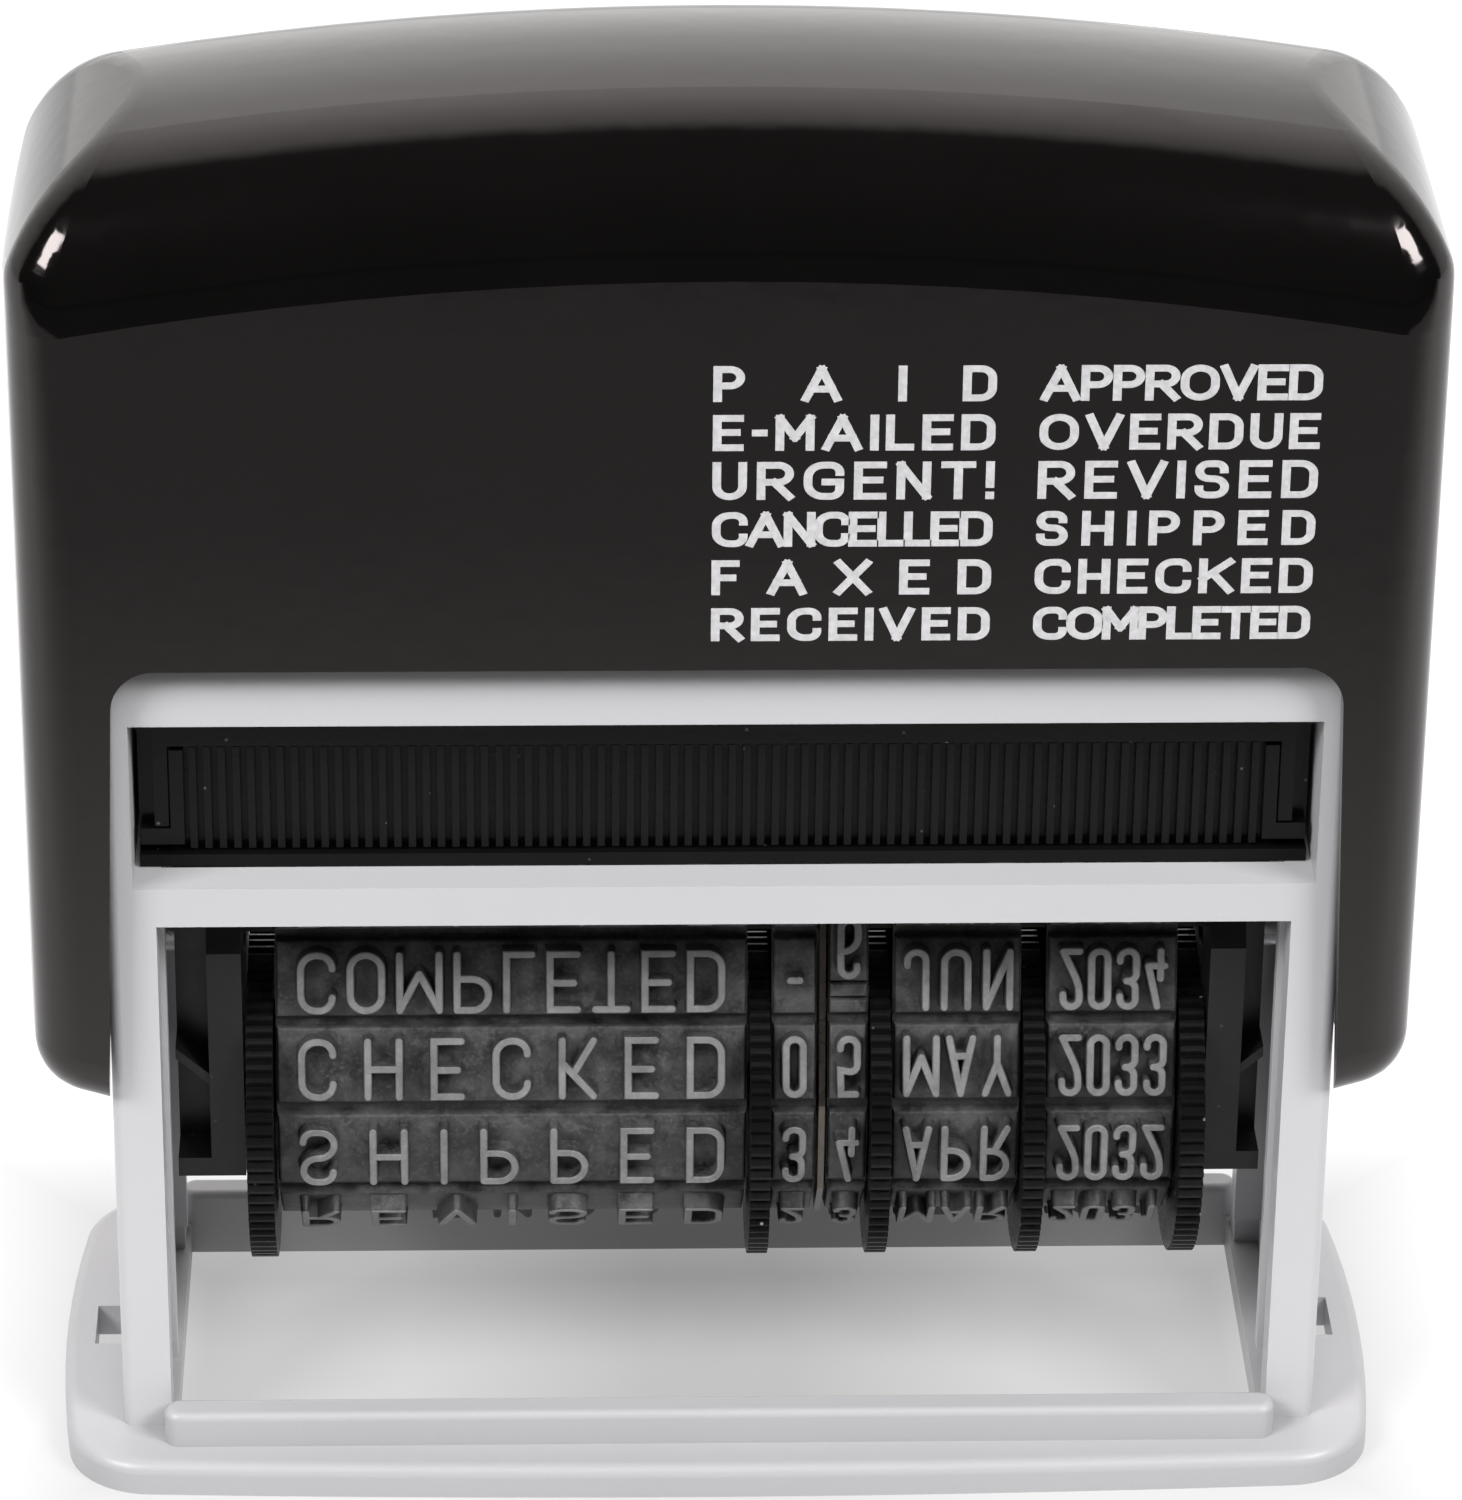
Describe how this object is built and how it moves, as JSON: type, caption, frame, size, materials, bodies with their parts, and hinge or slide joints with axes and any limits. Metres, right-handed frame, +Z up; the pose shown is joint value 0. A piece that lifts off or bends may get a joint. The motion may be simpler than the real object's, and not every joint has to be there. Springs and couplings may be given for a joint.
{
  "type": "rotary date stamp",
  "caption": "Self-inking stamp with a press-down cap, turning type carrier, knurled setting wheels, and rubber message and date bands.",
  "frame": {"origin": "middle of the base plate's underside", "axes": "+X to the user's right, +Y away from the user, +Z up"},
  "size_m": [0.0782, 0.0312, 0.0835],
  "materials": {
    "black_gloss": "polished ABS",
    "grey_plastic": "satin moulded ABS",
    "black_plastic": "satin moulded",
    "wheel_plastic": "semi-gloss moulded",
    "type_rubber": "matt moulded rubber",
    "spring_steel": "drawn",
    "ink_felt": "ink-soaked felt"
  },
  "bodies": {
    "frame": {"inner_frame": "grey_plastic", "base_plate": "grey_plastic", "press_spring": "spring_steel"},
    "cartridge": {"ink_cartridge": "black_plastic", "ink_pad": "ink_felt"},
    "housing": {"housing": "black_gloss"},
    "carrier": {"left_end_plate": "black_plastic", "right_end_plate": "black_plastic", "print_bridge": "black_plastic", "wheel_axle": "spring_steel", "left_trunnion": "spring_steel", "right_trunnion": "spring_steel", "left_cam_pin": "spring_steel", "right_cam_pin": "spring_steel", "day_separator": "spring_steel", "message_band": "type_rubber", "day_tens_band": "type_rubber", "day_ones_band": "type_rubber", "month_band": "type_rubber", "year_band": "type_rubber"},
    "message_wheel": {"message_wheel": "wheel_plastic"},
    "day_tens_wheel": {"day_tens_wheel": "wheel_plastic"},
    "day_ones_wheel": {"day_ones_wheel": "wheel_plastic"},
    "month_wheel": {"month_wheel": "wheel_plastic"},
    "year_wheel": {"year_wheel": "wheel_plastic"}
  },
  "joints": [
    {"name": "housing_press", "type": "slide", "parent": "frame", "child": "housing", "axis": [0, 0, -1], "range_m": [0, 0.02089], "stiffness_N_per_m": 300, "springref_m": -0.005, "deforming": ["press_spring"]},
    {"name": "carrier_flip", "type": "hinge", "parent": "housing", "child": "carrier", "pos_m": [0, 0, 0.02905], "axis": [-1, 0, 0], "range_deg": [0, 180]},
    {"name": "cartridge_slide", "type": "slide", "parent": "frame", "child": "cartridge", "axis": [0, -1, 0], "range_m": [0, 0.026]},
    {"name": "message_setting", "type": "hinge", "parent": "carrier", "child": "message_wheel", "pos_m": [0, 0, 0.0181], "axis": [1, 0, 0], "continuous": true},
    {"name": "day_tens_setting", "type": "hinge", "parent": "carrier", "child": "day_tens_wheel", "pos_m": [0, 0, 0.0181], "axis": [1, 0, 0], "continuous": true},
    {"name": "day_ones_setting", "type": "hinge", "parent": "carrier", "child": "day_ones_wheel", "pos_m": [0, 0, 0.0181], "axis": [1, 0, 0], "continuous": true},
    {"name": "month_setting", "type": "hinge", "parent": "carrier", "child": "month_wheel", "pos_m": [0, 0, 0.0181], "axis": [1, 0, 0], "continuous": true},
    {"name": "year_setting", "type": "hinge", "parent": "carrier", "child": "year_wheel", "pos_m": [0, 0, 0.0181], "axis": [1, 0, 0], "continuous": true}
  ],
  "couplings": [
    {"joint": "carrier_flip", "follows": "housing_press", "rad_per_m": 150.37}
  ]
}
